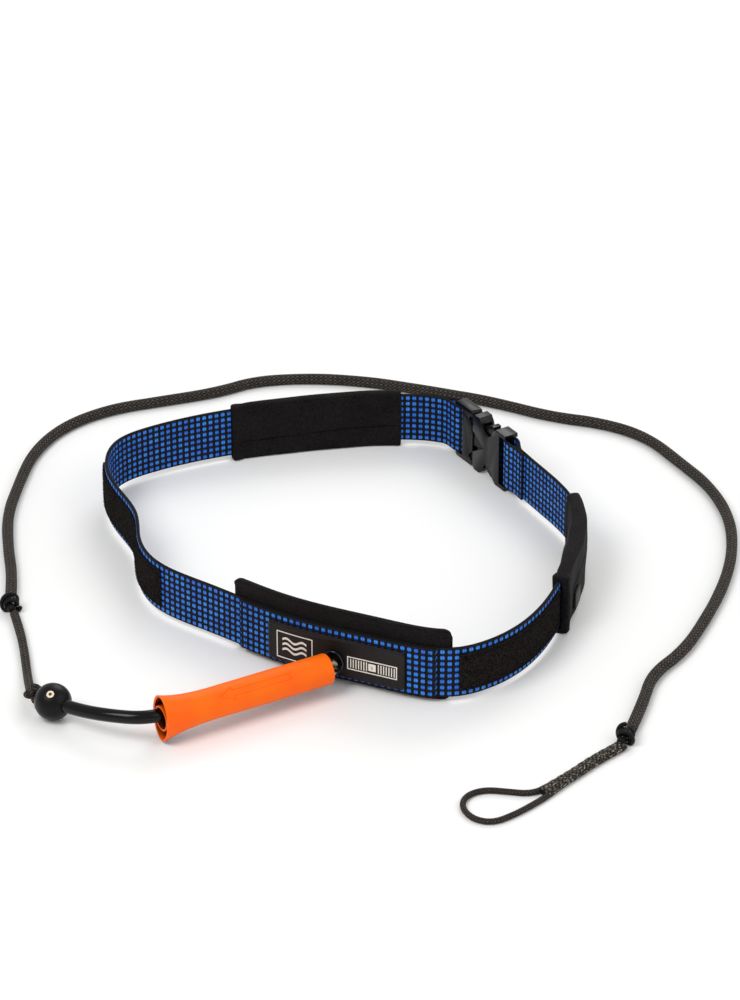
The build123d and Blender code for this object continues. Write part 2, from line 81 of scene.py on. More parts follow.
def build(name, sheets, material, body="root", smooth=True):
    """One mesh from grids of points. A sheet is (points, closed along, closed across, uv), and an end
    left open along a closed strip gets a flat cap. Each sheet is turned so that its volume is positive."""
    verts, faces, uvs, base = [], [], [], 0
    for points, along, across, uv in sheets:
        rows, cols = points.shape[:2]
        index = np.arange(rows * cols).reshape(rows, cols)
        if along:
            index = np.vstack([index, index[:1]])
        if across:
            index = np.hstack([index, index[:, :1]])
        quads = np.stack([index[:-1, :-1], index[1:, :-1], index[1:, 1:], index[:-1, 1:]], -1).reshape(-1, 4)
        if uv is None:
            uv = np.zeros(index.shape + (2,))
        corners = np.stack([uv[:-1, :-1], uv[1:, :-1], uv[1:, 1:], uv[:-1, 1:]], 2).reshape(-1, 4, 2)
        flat = points.reshape(-1, 3)
        caps = []
        if across and not along:
            caps = [index[0, :cols], index[-1, :cols][::-1]]
        a, b, c, d = (flat[quads[:, k]] for k in range(4))
        volume = (np.cross(a, b) * c).sum() + (np.cross(a, c) * d).sum()
        for cap in caps:
            fan = flat[cap]
            volume += (np.cross(fan[:1], fan[1:-1]) * fan[2:]).sum()
        if volume < 0:
            quads, corners = quads[:, ::-1], corners[:, ::-1]
            caps = [cap[::-1] for cap in caps]
        verts.append(flat)
        faces += (quads + base).tolist() + [(cap + base).tolist() for cap in caps]
        uvs.append(corners.reshape(-1, 2))
        uvs += [np.zeros((len(cap), 2)) for cap in caps]
        base += len(flat)
    mesh = bpy.data.meshes.new(name)
    mesh.from_pydata((np.concatenate(verts) * MM).tolist(), [], faces)
    layer = mesh.uv_layers.new(name="UVMap")
    layer.data.foreach_set("uv", np.concatenate(uvs).astype(np.float32).ravel())
    mesh.polygons.foreach_set("use_smooth", np.full(len(mesh.polygons), smooth))
    mesh.materials.append(material)
    mesh.update()
    piece = bpy.data.objects.new(name, mesh)
    scene.collection.objects.link(piece)
    if body:
        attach(piece, body)
    return piece


def grid_uv(u, v, along=False, across=False):
    """Texture position of each grid point from u along and v across, with the closing row or column."""
    if along:
        u = np.append(u, 2 * u[-1] - u[-2])
    if across:
        v = np.append(v, 2 * v[-1] - v[-2])
    return np.stack(np.meshgrid(u, v, indexing="ij"), -1)


def reach_of(track):
    return np.concatenate([[0], np.cumsum(np.linalg.norm(np.diff(track, axis=0), axis=1))])


def smooth_track(knots, per=40):
    """Cubic curve through the knots with continuous bend. The unknown is the slope at each knot, and
    the end slopes are those of the single cubic through the four end knots."""
    knots = np.asarray(knots, float)
    t = reach_of(knots)
    h = np.diff(t)
    n = len(t)
    m = np.zeros((n, n))
    rhs = np.zeros(knots.shape)
    inner = np.arange(1, n - 1)
    m[inner, inner - 1] = 1 / h[:-1]
    m[inner, inner] = 2 / h[:-1] + 2 / h[1:]
    m[inner, inner + 1] = 1 / h[1:]
    step = np.diff(knots, axis=0)
    rhs[1:-1] = 3 * (step[:-1] / h[:-1, None] ** 2 + step[1:] / h[1:, None] ** 2)
    for row, pick in ((0, slice(0, 4)), (n - 1, slice(n - 4, n))):
        m[row, row] = 1
        powers = np.vander(t[pick] - t[row], 4, increasing=True)
        rhs[row] = np.linalg.solve(powers, knots[pick])[1]
    slope = np.linalg.solve(m, rhs)
    s = np.linspace(0, 1, per, endpoint=False)[None, :, None]
    p0, p1 = knots[:-1, None], knots[1:, None]
    d0, d1 = slope[:-1, None] * h[:, None, None], slope[1:, None] * h[:, None, None]
    spans = (2 * s**3 - 3 * s**2 + 1) * p0 + (s**3 - 2 * s**2 + s) * d0 + (3 * s**2 - 2 * s**3) * p1
    spans = spans + (s**3 - s**2) * d1
    return np.concatenate([spans.reshape(-1, knots.shape[1]), knots[-1:]])


def along_track(track, station, offset, height):
    """Points beside a plan line: the line's own point plus its outward normal (slope turned a quarter
    turn clockwise) times the offset, at a height."""
    reach = reach_of(track)
    slope = unit(np.gradient(track, reach, axis=0))
    station, offset, height = np.broadcast_arrays(np.asarray(station, float), offset, height)
    x, y = (np.interp(station, reach, track[:, k]) for k in (0, 1))
    dx, dy = (np.interp(station, reach, slope[:, k]) for k in (0, 1))
    size = np.hypot(dx, dy)
    return np.stack([x + dy / size * offset, y - dx / size * offset, height], -1)


def tube(path, reference, radius, around=16, pitch=1.0, squash=1.0):
    """Round tube: at each path point a circle of the radius, in the plane square to the path, turned to
    a reference direction. Texture u is the share of a turn times pitch, and v the length in mm."""
    path = np.asarray(path, float)
    slope = unit(np.gradient(path, axis=0))
    reference = np.broadcast_to(reference, path.shape)
    side = unit(reference - (reference * slope).sum(-1, keepdims=True) * slope)
    other = np.cross(slope, side)
    turn = np.arange(around) / around * 2 * np.pi
    radius = np.broadcast_to(radius, (len(path),))[:, None, None]
    ring = np.cos(turn)[None, :, None] * side[:, None] * squash + np.sin(turn)[None, :, None] * other[:, None]
    points = path[:, None] + radius * ring
    uv = grid_uv(reach_of(path), np.arange(around) / around * pitch, across=True)
    return points, False, True, uv


def evenly(path, step):
    """The same line with points an even step apart."""
    reach = reach_of(path)
    count = max(4, round(reach[-1] / step))
    at = np.linspace(0, reach[-1], count + 1)
    return np.stack([np.interp(at, reach, path[:, k]) for k in range(path.shape[1])], -1)


def rounded_ends(path, radius, rim=0.6):
    """Radii that close a tube's two ends with a short rounded rim."""
    reach = reach_of(path)
    near = np.minimum(reach, reach[-1] - reach) / rim
    return radius * (1 - 0.35 * (1 - np.clip(near, 0, 1)) ** 2)


def stitches(name, centres, ways, outs, length, width, thread):
    """Short threads: each is an ellipsoid of half sizes length, width and width about its centre, with
    its long axis along the seam and its third axis out of the surface."""
    angle = (np.arange(6) / 6 * 2 * np.pi)[None, :, None]
    level = np.linspace(-1, 1, 5)[:, None, None]
    girth = np.sqrt(np.maximum(1 - level**2, 0.02))
    ways, outs = unit(ways), unit(outs)
    sides = np.cross(ways, outs)
    sheets = []
    for centre, way, out, side_way in zip(centres, ways, outs, sides):
        ring = np.cos(angle) * side_way + np.sin(angle) * out
        points = centre + level * length / 2 * way + girth * width / 2 * ring
        sheets.append((points, False, True, None))
    return build(name, sheets, thread)


# ---------------------------------------------------------------- material kit
def colour(hex_code):
    """sRGB hex to linear light."""
    parts = [int(hex_code[k:k + 2], 16) / 255 for k in (1, 3, 5)]
    return [c / 12.92 if c <= 0.04045 else ((c + 0.055) / 1.055) ** 2.4 for c in parts] + [1.0]


def add(tree, kind, ins=None, out=0, **settings):
    """Adds a node of a kind, sets it, fills or links its inputs, and gives back one output."""
    node = tree.nodes.new("ShaderNode" + kind)
    for key, value in settings.items():
        setattr(node, key, value)
    for key, value in (ins or {}).items():
        if isinstance(value, bpy.types.NodeSocket):
            tree.links.new(value, node.inputs[key])
        else:
            node.inputs[key].default_value = value
    return node.outputs[out]


def finish(name, sockets):
    """A Principled material whose uniform values are set on the shader's own sockets."""
    material = bpy.data.materials.new(name)
    material.use_nodes = True
    tree = material.node_tree
    shader = tree.nodes["Principled BSDF"]
    for key, value in sockets.items():
        shader.inputs[key].default_value = value
    return material, tree, shader


def link_up(tree, shader, base, rough, height, depth_mm):
    """Links the colour, the roughness where it varies, and a height from 0 to 1 that stands for a
    depth in mm."""
    tree.links.new(base, shader.inputs["Base Color"])
    if rough is not None:
        tree.links.new(rough, shader.inputs["Roughness"])
    bump = add(tree, "Bump", {"Height": height, "Distance": depth_mm * MM, "Strength": 1.0})
    tree.links.new(bump, shader.inputs["Normal"])


# settings that many nodes share: a smooth step, and a mix of two colours (inputs 6 and 7, output 2)
SMOOTH = {"interpolation_type": "SMOOTHSTEP"}
COLOURS = {"out": 2, "data_type": "RGBA"}


def woven_polyester():
    """Two-colour jacquard webbing: glossy blue floats in eight rows, each split in two lobes, over a
    black ground with thin grey-brown ribs, and a painted highlight that lightens each float's crown. u counts
    picks along the strap and v rows across it."""
    material, tree, shader = finish("woven_polyester_webbing", {
        "Roughness": 0.5, "Specular IOR Level": 0.22})
    place = add(tree, "TexCoord", out="UV")
    u = add(tree, "SeparateXYZ", {0: place}, out="X")
    v = add(tree, "SeparateXYZ", {0: place}, out="Y")
    # x and y: distance from the middle of the float's cell, as a share of the cell
    x, y = (add(tree, "Math", {0: w}, operation="FRACT") for w in (u, v))
    x, y = (add(tree, "Math", {0: w, 1: 0.5}, operation="SUBTRACT") for w in (x, y))
    x, y = (add(tree, "Math", {0: w}, operation="ABSOLUTE") for w in (x, y))
    # a float is a superellipse of power 3 with half sizes 0.31 and 0.34
    wide = add(tree, "Math", {0: x, 1: 0.31}, operation="DIVIDE")
    tall = add(tree, "Math", {0: y, 1: 0.34}, operation="DIVIDE")
    wide, tall = (add(tree, "Math", {0: w, 1: 3.0}, operation="POWER") for w in (wide, tall))
    oval = add(tree, "Math", {0: wide, 1: tall}, operation="ADD")
    float_mask = add(tree, "MapRange", {"Value": oval, "From Min": 0.75, "From Max": 1.25, "To Min": 1.0,
                                        "To Max": 0.0}, **SMOOTH)
    # floats stop at the selvedges: v runs from 0 to 8
    above = add(tree, "MapRange", {"Value": v, "From Min": 0.02, "From Max": 0.1}, **SMOOTH)
    below = add(tree, "MapRange", {"Value": v, "From Min": 7.9, "From Max": 7.98, "To Min": 1.0,
                                   "To Max": 0.0}, **SMOOTH)
    inside = add(tree, "Math", {0: above, 1: below}, operation="MULTIPLY")
    float_mask = add(tree, "Math", {0: float_mask, 1: inside}, operation="MULTIPLY")
    lobes = add(tree, "MapRange", {"Value": x, "From Min": 0.0, "From Max": 0.07, "To Min": 0.25}, **SMOOTH)
    pick_number, row_number = (add(tree, "Math", {0: w}, operation="FLOOR") for w in (u, v))
    cell = add(tree, "CombineXYZ", {0: pick_number, 1: row_number})
    tone = add(tree, "TexWhiteNoise", {"Vector": cell}, noise_dimensions="3D")
    yarn = add(tree, "TexWave", {"Vector": place, "Scale": 3.2, "Distortion": 0.6, "Detail": 1.0},
               out="Fac", bands_direction="Y")
    # painted highlight: crest and centre lighten the blue at each float's crown, where light falls on its dome;
    # tone adds a random tone per float
    crest = add(tree, "MapRange", {"Value": y, "From Min": 0.05, "From Max": 0.3, "To Min": 1.0,
                                   "To Max": 0.0}, **SMOOTH)
    centre = add(tree, "MapRange", {"Value": x, "From Min": 0.1, "From Max": 0.34, "To Min": 1.0,
                                    "To Max": 0.15}, **SMOOTH)
    crown = add(tree, "Math", {0: crest, 1: centre}, operation="MULTIPLY")
    crown = add(tree, "Math", {0: crown, 1: 0.55}, operation="MULTIPLY")
    shade = add(tree, "Math", {0: tone, 1: 0.45, 2: crown}, operation="MULTIPLY_ADD")
    blue = add(tree, "Mix", {0: shade, 6: colour("#1049B8"), 7: colour("#3D9AFA")}, **COLOURS)
    blue = add(tree, "Mix", {0: lobes, 6: colour("#061A4C"), 7: blue}, **COLOURS)
    rib = add(tree, "MapRange", {"Value": y, "From Min": 0.42, "From Max": 0.49}, **SMOOTH)
    ground = add(tree, "Mix", {0: rib, 6: colour("#030306"), 7: colour("#1D1A19")}, **COLOURS)
    where = add(tree, "TexCoord", out="Object")
    grain = add(tree, "TexNoise", {"Vector": where, "Scale": 1 / (0.5 * MM), "Detail": 2.0}, out="Fac")
    grain = add(tree, "Math", {0: grain, 1: 0.5}, operation="MULTIPLY")
    ground = add(tree, "Mix", {0: grain, 6: ground, 7: colour("#0D0D10")}, **COLOURS)
    relief = add(tree, "Math", {0: float_mask, 1: lobes}, operation="MULTIPLY")
    relief = add(tree, "Math", {0: relief, 1: 0.7}, operation="MULTIPLY")
    yarn = add(tree, "Math", {0: yarn, 1: 0.2}, operation="MULTIPLY")
    height = add(tree, "Math", {0: relief, 1: yarn}, operation="ADD")
    base = add(tree, "Mix", {0: float_mask, 6: ground, 7: blue}, **COLOURS)
    rough = add(tree, "MapRange", {"Value": float_mask, "To Min": 0.8, "To Max": 0.4}, **SMOOTH)
    link_up(tree, shader, base, rough, height, 0.35)
    return material


def plain_finish(name, dark, light, size_mm, depth_mm, rough=(0.4, 0.5), **sockets):
    """A surface with one fine texture: colour and relief follow noise of one size in mm, and a broad
    noise of 24 mm darkens the colour and varies the roughness."""
    material, tree, shader = finish(name, sockets)
    where = add(tree, "TexCoord", out="Object")
    lumps = add(tree, "TexNoise", {"Vector": where, "Scale": 1 / (size_mm * MM), "Detail": 3.0}, out="Fac")
    broad = add(tree, "TexNoise", {"Vector": where, "Scale": 1 / (24.0 * MM), "Detail": 2.0}, out="Fac")
    share = add(tree, "MapRange", {"Value": lumps, "From Min": 0.3, "From Max": 0.7}, **SMOOTH)
    base = add(tree, "Mix", {0: share, 6: colour(dark), 7: colour(light)}, **COLOURS)
    shadow = add(tree, "Math", {0: broad, 1: 0.35}, operation="MULTIPLY")
    base = add(tree, "Mix", {0: shadow, 6: base, 7: colour(dark)}, **COLOURS)
    shine = add(tree, "MapRange", {"Value": broad, "From Min": 0.3, "From Max": 0.7, "To Min": rough[0],
                                   "To Max": rough[1]}, **SMOOTH)
    link_up(tree, shader, base, shine, lumps, depth_mm)
    return material


def braided(name, dark, light, strands, pitch_mm, depth_mm, rough=0.62):
    """Herringbone braid: two families of strands wind opposite ways, so a rhomb is light where one
    family lies on top, with painted shade in the gaps between strands and a painted highlight on each
    strand's crown. u is the length in mm and v the share of a turn, times the strand count."""
    material, tree, shader = finish(name, {"Roughness": rough, "Specular IOR Level": 0.15})
    place = add(tree, "TexCoord", out="UV")
    u = add(tree, "SeparateXYZ", {0: place}, out="X")
    u = add(tree, "Math", {0: u, 1: pitch_mm}, operation="DIVIDE")
    v = add(tree, "SeparateXYZ", {0: place}, out="Y")
    v = add(tree, "Math", {0: v, 1: strands}, operation="MULTIPLY")
    right = add(tree, "Math", {0: v, 1: u}, operation="ADD")
    left = add(tree, "Math", {0: v, 1: u}, operation="SUBTRACT")
    crown = [add(tree, "Math", {0: w}, operation="FRACT") for w in (right, left)]
    crown = [add(tree, "Math", {0: w, 1: math.pi}, operation="MULTIPLY") for w in crown]
    crown = [add(tree, "Math", {0: w}, operation="SINE") for w in crown]
    number = [add(tree, "Math", {0: w}, operation="FLOOR") for w in (right, left)]
    over = add(tree, "Math", {0: number[0], 1: number[1]}, operation="ADD")
    over = add(tree, "Math", {0: over, 1: 2.0}, operation="MODULO")
    over = add(tree, "Math", {0: over}, operation="ABSOLUTE")
    rounded = add(tree, "Mix", {0: over, 2: crown[1], 3: crown[0]})
    gap = add(tree, "Math", {0: crown[0], 1: crown[1]}, operation="MULTIPLY")
    gap = add(tree, "MapRange", {"Value": gap, "From Max": 0.3}, **SMOOTH)
    rounded = add(tree, "Math", {0: rounded, 1: gap}, operation="MULTIPLY")
    cell = add(tree, "CombineXYZ", {0: number[0], 1: number[1]})
    tone = add(tree, "TexWhiteNoise", {"Vector": cell}, noise_dimensions="3D")
    tone = add(tree, "Math", {0: tone, 1: 0.3}, operation="MULTIPLY")
    shade = add(tree, "Math", {0: over, 1: 0.3, 2: tone}, operation="MULTIPLY_ADD")
    shade = add(tree, "Math", {0: shade, 1: 0.3}, operation="ADD")
    # painted shade and highlight: the colour darkens where the strands' rounding falls off into the gaps and
    # lightens on their crowns
    lit = add(tree, "MapRange", {"Value": rounded, "From Min": 0.15, "From Max": 0.9, "To Min": 0.05}, **SMOOTH)
    shade = add(tree, "Math", {0: shade, 1: lit}, operation="MULTIPLY")
    base = add(tree, "Mix", {0: shade, 6: colour(dark), 7: colour(light)}, **COLOURS)
    link_up(tree, shader, base, None, rounded, depth_mm)
    return material


def moulded_grip():
    """Saturated orange thermoplastic rubber with painted shade in its hollows: the colour darkens
    where little of the sky within 14 mm is open, and fine mould grain breaks the shine."""
    material, tree, shader = finish("moulded_orange_rubber", {"Specular IOR Level": 0.18})
    where = add(tree, "TexCoord", out="Object")
    grain = add(tree, "TexNoise", {"Vector": where, "Scale": 1 / (1.1 * MM), "Detail": 3.0}, out="Fac")
    broad = add(tree, "TexNoise", {"Vector": where, "Scale": 1 / (30.0 * MM), "Detail": 2.0}, out="Fac")
    # painted shade: ambient occlusion within 14 mm darkens the orange towards #3A1304 in the grip's hollows
    sky = add(tree, "AmbientOcclusion", {"Distance": 14 * MM}, out="AO", samples=8)
    share = add(tree, "MapRange", {"Value": broad, "From Min": 0.3, "From Max": 0.7}, **SMOOTH)
    base = add(tree, "Mix", {0: share, 6: colour("#FF6200"), 7: colour("#FD6E02")}, **COLOURS)
    open_sky = add(tree, "MapRange", {"Value": sky, "From Min": 0.18, "From Max": 0.6}, **SMOOTH)
    base = add(tree, "Mix", {0: open_sky, 6: colour("#3A1304"), 7: base}, **COLOURS)
    rough = add(tree, "MapRange", {"Value": broad, "From Min": 0.3, "From Max": 0.7, "To Min": 0.42,
                                   "To Max": 0.52}, **SMOOTH)
    link_up(tree, shader, base, rough, grain, 0.03)
    return material


webbing_finish = woven_polyester()
# knitted nylon jersey over foam rubber: matte and almost black, with a faint bloom of loose fibre
neoprene_finish = plain_finish("jersey_faced_neoprene", "#050405", "#211D1D", 0.9, 0.3, (0.8, 0.95),
                               **{"Specular IOR Level": 0.1, "Sheen Weight": 0.03})
# injection-moulded soft vinyl: brown-black, even, with a low satin shine
vinyl_finish = plain_finish("moulded_soft_vinyl", "#110D0C", "#191311", 1.4, 0.02, (0.42, 0.52),
                            **{"Specular IOR Level": 0.25})
# hook-and-loop pile: a mat of crimped nylon loops, dark with stray bright fibres
pile_finish = plain_finish("nylon_loop_pile", "#020202", "#302B29", 1.0, 0.7, (0.9, 0.98),
                           **{"Specular IOR Level": 0.06})
# moulded acetal: hard, dark grey, with sharp bright highlights on its edges
acetal_finish = plain_finish("moulded_acetal", "#050506", "#0A0A0C", 1.2, 0.012, (0.22, 0.32),
                             **{"Specular IOR Level": 0.3})
grip_finish = moulded_grip()
# extruded polyurethane tube: black, wet-looking, a single clean highlight
hose_finish = plain_finish("extruded_polyurethane", "#020202", "#040405", 3.0, 0.01, (0.12, 0.18),
                           **{"Specular IOR Level": 0.25})
# turned nylon: black, satin, one soft highlight
nylon_finish = plain_finish("turned_nylon", "#020202", "#070606", 1.0, 0.02, (0.32, 0.4),
                            **{"Specular IOR Level": 0.2})
# turned stainless steel: bright, with fine tool marks
steel_finish = plain_finish("turned_stainless_steel", "#A79C88", "#C9BFA9", 0.6, 0.01, (0.25, 0.35),
                            **{"Metallic": 1.0})
# glossy moulded eyelet
eyelet_finish = plain_finish("polished_black_nylon", "#060607", "#0B0B0D", 2.0, 0.01, (0.1, 0.16))
# silk-screened ink, slightly raised
ink_finish = plain_finish("white_screen_ink", "#DAD3C8", "#F1ECE3", 0.8, 0.02, (0.5, 0.6))
accent_finish = plain_finish("red_screen_ink", "#A8141C", "#C01C24", 0.8, 0.02, (0.5, 0.6))
# bonded polyester sewing thread, black, and a pale one for stray fibres and for the painted glints on the
# tail's splice
thread_finish = plain_finish("bonded_sewing_thread", "#020203", "#0A0A0C", 0.4, 0.05, (0.6, 0.8),
                             **{"Specular IOR Level": 0.15})
pale_thread_finish = plain_finish("pale_sewing_thread", "#8C867B", "#C6C0B4", 0.4, 0.05, (0.35, 0.5))
leash_finish = braided("polyester_braid_over_elastic", "#020202", "#5C544D", 10, 3.6, 0.5)
tail_finish = braided("fine_braided_cord", "#030202", "#554C45", 6, 2.2, 0.3)
splice_finish = braided("spliced_braid", "#020202", "#5E564E", 7, 3.4, 0.7)
knot_finish = braided("waxed_black_cord", "#020202", "#1A181A", 8, 1.6, 0.12, 0.38)


# ---------------------------------------------------------------- cords
def cord_path(name, route, step=1.0):
    """Even points on a smooth order-3 spline whose control points are the route's."""
    line = bpy.data.curves.new(name + "_line", "CURVE")
    line.dimensions = "3D"
    line.resolution_u = 32
    spline = line.splines.new("NURBS")
    spline.points.add(len(route) - 1)
    for point, where in zip(spline.points, route):
        point.co = [c * MM for c in where] + [1]
    spline.order_u = 3
    spline.use_endpoint_u = True
    holder = bpy.data.objects.new(name + "_line", line)
    scene.collection.objects.link(holder)
    bpy.context.view_layer.update()
    mesh = bpy.data.meshes.new_from_object(holder)
    points = np.array([v.co for v in mesh.vertices], float) / MM
    bpy.data.objects.remove(holder)
    bpy.data.meshes.remove(mesh)
    return evenly(points, step)


def lying(route, diameter):
    return [(x, y, diameter / 2) for x, y in route]


handle_mouth = np.array([11.0, -136.5, 18.0])
heading = math.radians(209.4)
line_along = np.array([math.cos(heading), math.sin(heading), 0])
line_across = np.array([line_along[1], -line_along[0], 0])
upwards = np.array([0.0, 0.0, 1.0])


def line_point(along, across, up):
    """Point beside the handle's axis: along it from the mouth, level across it, and up."""
    along, across, up = np.broadcast_arrays(np.asarray(along, float), across, up)
    return (handle_mouth + along[..., None] * line_along + across[..., None] * line_across
            + up[..., None] * upwards)


ball_centre = line_point(172.7, 60.6, -5.5)
hose_bends = [line_point(*bend) for bend in (
    (24, 0, 0), (62, 0, 0), (118, 0.5, 1.6), (137, 3.2, 2.4), (154, 20.5, 0.6), (165.5, 41.5, -3.2))]
ball_axis = unit(ball_centre - hose_bends[-1])
hose_route = hose_bends + [ball_centre - ball_axis * 3]
pigtail_route = [(-184.5, -156.0, 10.6), (-187.5, -137.0, 5.8), (-190.5, -116.0, 3.1), (-194.0, -91.0, 3.1),
                 (-198.5, -66.0, 3.1), (-204.5, -42.0, 3.1)]
leash_route = lying([
    (-208, -27), (-209, 4), (-215, 44), (-219, 90), (-214, 135), (-207, 180), (-188, 219), (-155, 246),
    (-112, 260), (-74, 273), (-48, 290), (-6, 295), (40, 289), (88, 273), (132, 257), (172, 235),
    (213, 224), (243, 203), (264, 166), (284, 130), (295, 84), (293, 36), (283, -9), (267, -54),
    (250, -93), (227, -122), (219, -158), (209, -190)], 8)
tail_route = lying([
    (201.5, -204), (185, -219), (170.5, -235.5), (157.5, -249), (149, -256.5), (140, -260.5), (128, -258.5),
    (112, -256), (100, -263), (97, -276), (104, -289.5), (117, -293.5), (131, -284), (143, -273),
    (153.5, -262), (160.5, -252.5), (173.5, -238.5), (188, -222), (204.5, -207)], 4)


def braid_tube(name, path, diameter, around, finish_, node, swell=0.0):
    """A cord's skin: a tube whose radius swells and shrinks a little along its length."""
    reach = reach_of(path)
    wander = 1 + swell * np.sin(reach / 9.0) * np.sin(reach / 23.0 + 1.0)
    piece = build(name, [tube(path, upwards, rounded_ends(path, diameter / 2) * wander, around)], finish_)
    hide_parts(*node)
    return piece


leash_path = cord_path("leash", leash_route)
leash = braid_tube("leash_braid", leash_path, 7.9, 24, leash_finish, ["leash_cord"], 0.02)
pigtail_path = cord_path("pigtail", pigtail_route)
pigtail = braid_tube("pigtail_braid", pigtail_path, 6.1, 20, splice_finish, ["pigtail_cord"], 0.03)
tail_path = cord_path("tail", tail_route, 0.8)
tail = braid_tube("tail_braid", tail_path, 4.0, 16, tail_finish, ["tail_cord"])

hose_path = cord_path("hose", hose_route)
hose = build("release_hose", [tube(hose_path, upwards, 4.5, 28)], hose_finish, body=None)
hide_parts("hose", "inner_line")
line_point(152, 16, 1) * MM
line_point(116, 0, 1.5) * MM
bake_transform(hose)


# ---------------------------------------------------------------- knots
def lashing(centre, axis, cord_radius, coil_radius, turns, span, seed):
    """Turns of cord wound on an axis, whose last half turn climbs over the others and runs back:
    the radius is the coil's, plus a cord's width where the strand crosses back."""
    axis = unit(np.asarray(axis, float))
    side = unit(np.cross(axis, upwards))
    up = np.cross(side, axis)
    t = np.linspace(0, 1, 150)
    out = np.clip((t - 0.66) / 0.12, 0, 1)
    out = out * out * (3 - 2 * out)
    angle = 2 * np.pi * turns * t * 1.35 + seed
    place = np.where(t < 0.7, (t / 0.7 - 0.5) * span, (0.5 - (t - 0.7) / 0.3) * span)
    place = np.convolve(np.pad(place, 6, mode="edge"), np.ones(13) / 13, mode="valid")
    radius = coil_radius + out * cord_radius * 1.5
    radial = np.cos(angle)[:, None] * side + np.sin(angle)[:, None] * up
    path = centre + place[:, None] * axis + radius[:, None] * radial
    path[:, 2] = np.maximum(path[:, 2], cord_radius)
    return tube(path, radial, rounded_ends(path, cord_radius), 12)


def fibres(name, centre, spread, count):
    """Stray glossy filaments: short arcs of hair-thin thread about a centre."""
    sheets = []
    for _ in range(count):
        way = unit(chance.normal(size=3))
        start = centre + unit(chance.normal(size=3) + [0, 0, 0.6]) * spread
        bow = unit(np.cross(way, chance.normal(size=3)))
        t = np.linspace(-1, 1, 9)[:, None]
        path = start + way * t * 1.9 + bow * (1 - t**2) * 0.8
        path[:, 2] = np.maximum(path[:, 2], 0.2)
        sheets.append(tube(path, np.cross(way, bow), 0.16, 5))
    return build(name, sheets, pale_thread_finish)


def overhand(centre, axis, cord_radius, reach, tall):
    """Knotted strand on the trefoil x = sin t + 2 sin 2t, y = cos t - 2 cos 2t, z = -sin 3t, closed on
    itself, whose three lobes reach out from the axis."""
    axis = unit(np.asarray(axis, float))
    side = unit(np.cross(axis, upwards))
    up = np.cross(side, axis)
    t = np.linspace(0, 2 * np.pi, 120, endpoint=False)[:, None]
    path = (np.sin(t) + 2 * np.sin(2 * t)) * side + (np.cos(t) - 2 * np.cos(2 * t)) * up
    path = centre + path * reach / 3 - np.sin(3 * t) * tall * axis
    wrapped = np.vstack([path[-2:], path, path[:2]])
    points, _, _, uv = tube(wrapped, axis, cord_radius, 14)
    return points[2:-2], True, True, uv[2:-1]


def core(centre, axis, radius, half):
    """The cord that the coils grip: a short plain tube on the axis."""
    line = centre + np.linspace(-half, half, 16)[:, None] * unit(np.asarray(axis, float))
    return tube(line, upwards, rounded_ends(line, radius, 1.5), 18)


knot_end = ball_centre + ball_axis * 18.0 + upwards * 1.0
stopper = build("stopper_knot_cord", [overhand(knot_end, ball_axis, 2.1, 4.9, 2.4),
                                      core(knot_end, ball_axis, 2.6, 6.0)], splice_finish)
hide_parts("stopper_knot")
left_centre = np.array([-207.0, -34.0, 6.0])
left_axis = np.array([math.cos(math.radians(97)), math.sin(math.radians(97)), 0])
right_centre = np.array([205.5, -198.5, 6.0])
right_axis = np.array([math.cos(math.radians(240)), math.sin(math.radians(240)), 0])
knot_left = build("leash_knot_left_cord", [lashing(left_centre, left_axis, 1.55, 4.1, 2.2, 6.6, 0.0),
                                           core(left_centre, left_axis + [0, 0, 0.1], 2.9, 8.5)],
                  knot_finish)
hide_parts("leash_knot_left")
knot_right = build("leash_knot_right_cord", [lashing(right_centre, right_axis, 1.55, 4.1, 2.2, 6.6, 1.6),
                                             core(right_centre, right_axis + [0, 0, -0.2], 2.9, 8.5)],
                   knot_finish)
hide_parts("leash_knot_right")
left_fibres = fibres("left_fibres", left_centre, 5.0, 9)
right_fibres = fibres("right_fibres", right_centre, 5.0, 9)


sheath_length = 78
filament_count = 230
filament_columns = 24


def spliced_tail():
    """The doubled part of the tail, sheathed in one thick braid: an ellipse about both strands, whose
    half width is half their spacing plus a strand's radius, scattered with pale filaments that are painted
    glints of its glossy fibres."""
    both = []
    for line in (tail_path, tail_path[::-1]):
        reach = reach_of(line)
        at = np.arange(0.0, sheath_length, 1.0)
        both.append(np.stack([np.interp(at, reach, line[:, k]) for k in range(3)], -1))
    centre = (both[0] + both[1]) / 2 + [0, 0, 0.75]
    apart = both[1] - both[0]
    width = np.linalg.norm(apart, axis=1) / 2 + 2.3 + 0.25 * np.sin(np.arange(len(centre)) * 0.9)
    width = np.minimum(width, 5.2)
    tall = 2.7 + 0.12 * np.sin(np.arange(len(centre)) * 0.7)
    tall[[0, -1]] *= 0.75
    sheath = tube(centre, apart, tall, filament_columns, squash=(width / tall)[:, None, None])
    splice = build("tail_splice", [sheath], splice_finish)
    points = sheath[0]
    ring = chance.integers(1, len(centre) - 1, filament_count)
    column = chance.integers(0, filament_columns, filament_count)
    spot = points[ring, column]
    outs = unit(spot - centre[ring])
    ahead = unit(np.gradient(centre, axis=0))[ring]
    ways = unit(ahead + np.cross(outs, ahead) * chance.normal(0, 0.8, (filament_count, 1)))
    keep = outs[:, 2] > -0.2
    # painted highlights: pale filaments stand for glints on the splice's glossy fibres
    filaments = stitches("tail_filaments", spot[keep], ways[keep], outs[keep], 2.1, 0.34,
                         pale_thread_finish)
    return splice, filaments


tail_splice, tail_filaments = spliced_tail()

